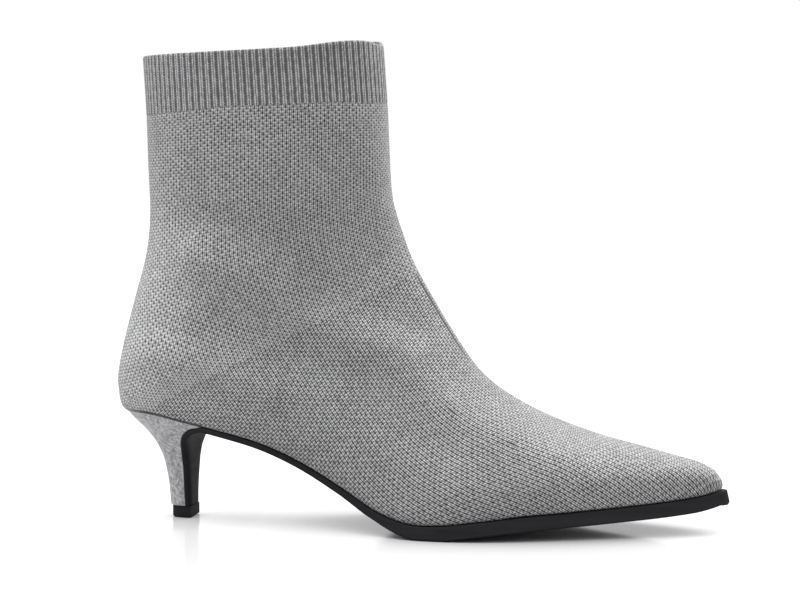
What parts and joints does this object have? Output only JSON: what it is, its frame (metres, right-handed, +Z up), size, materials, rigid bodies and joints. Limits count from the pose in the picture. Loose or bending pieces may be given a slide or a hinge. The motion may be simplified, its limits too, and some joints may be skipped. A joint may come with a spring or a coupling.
{
  "type": "ankle boot",
  "caption": "Stretch ankle boot with a knitted sock upper, ribbed cuff, pointed toe, thin dark sole and low tapered covered heel.",
  "frame": {"origin": "on the floor under the middle of the boot's box, the sole and the heel's lift standing on Z = 0", "axes": "+X from the heel to the toe, +Z up the shaft, -Y towards the outer side of the right foot"},
  "size_m": [0.2664, 0.0842, 0.2069],
  "materials": {
    "knit": "mottled light and dark grey stretch knit",
    "footbed": "soft matt",
    "sole_rubber": "satin",
    "heel_cover": "suede-like cover",
    "lift_rubber": "matt"
  },
  "bodies": {
    "root": {"upper": "knit", "insole": "footbed", "outsole": "sole_rubber", "heel": "heel_cover", "top_lift": "lift_rubber"}
  },
  "joints": []
}
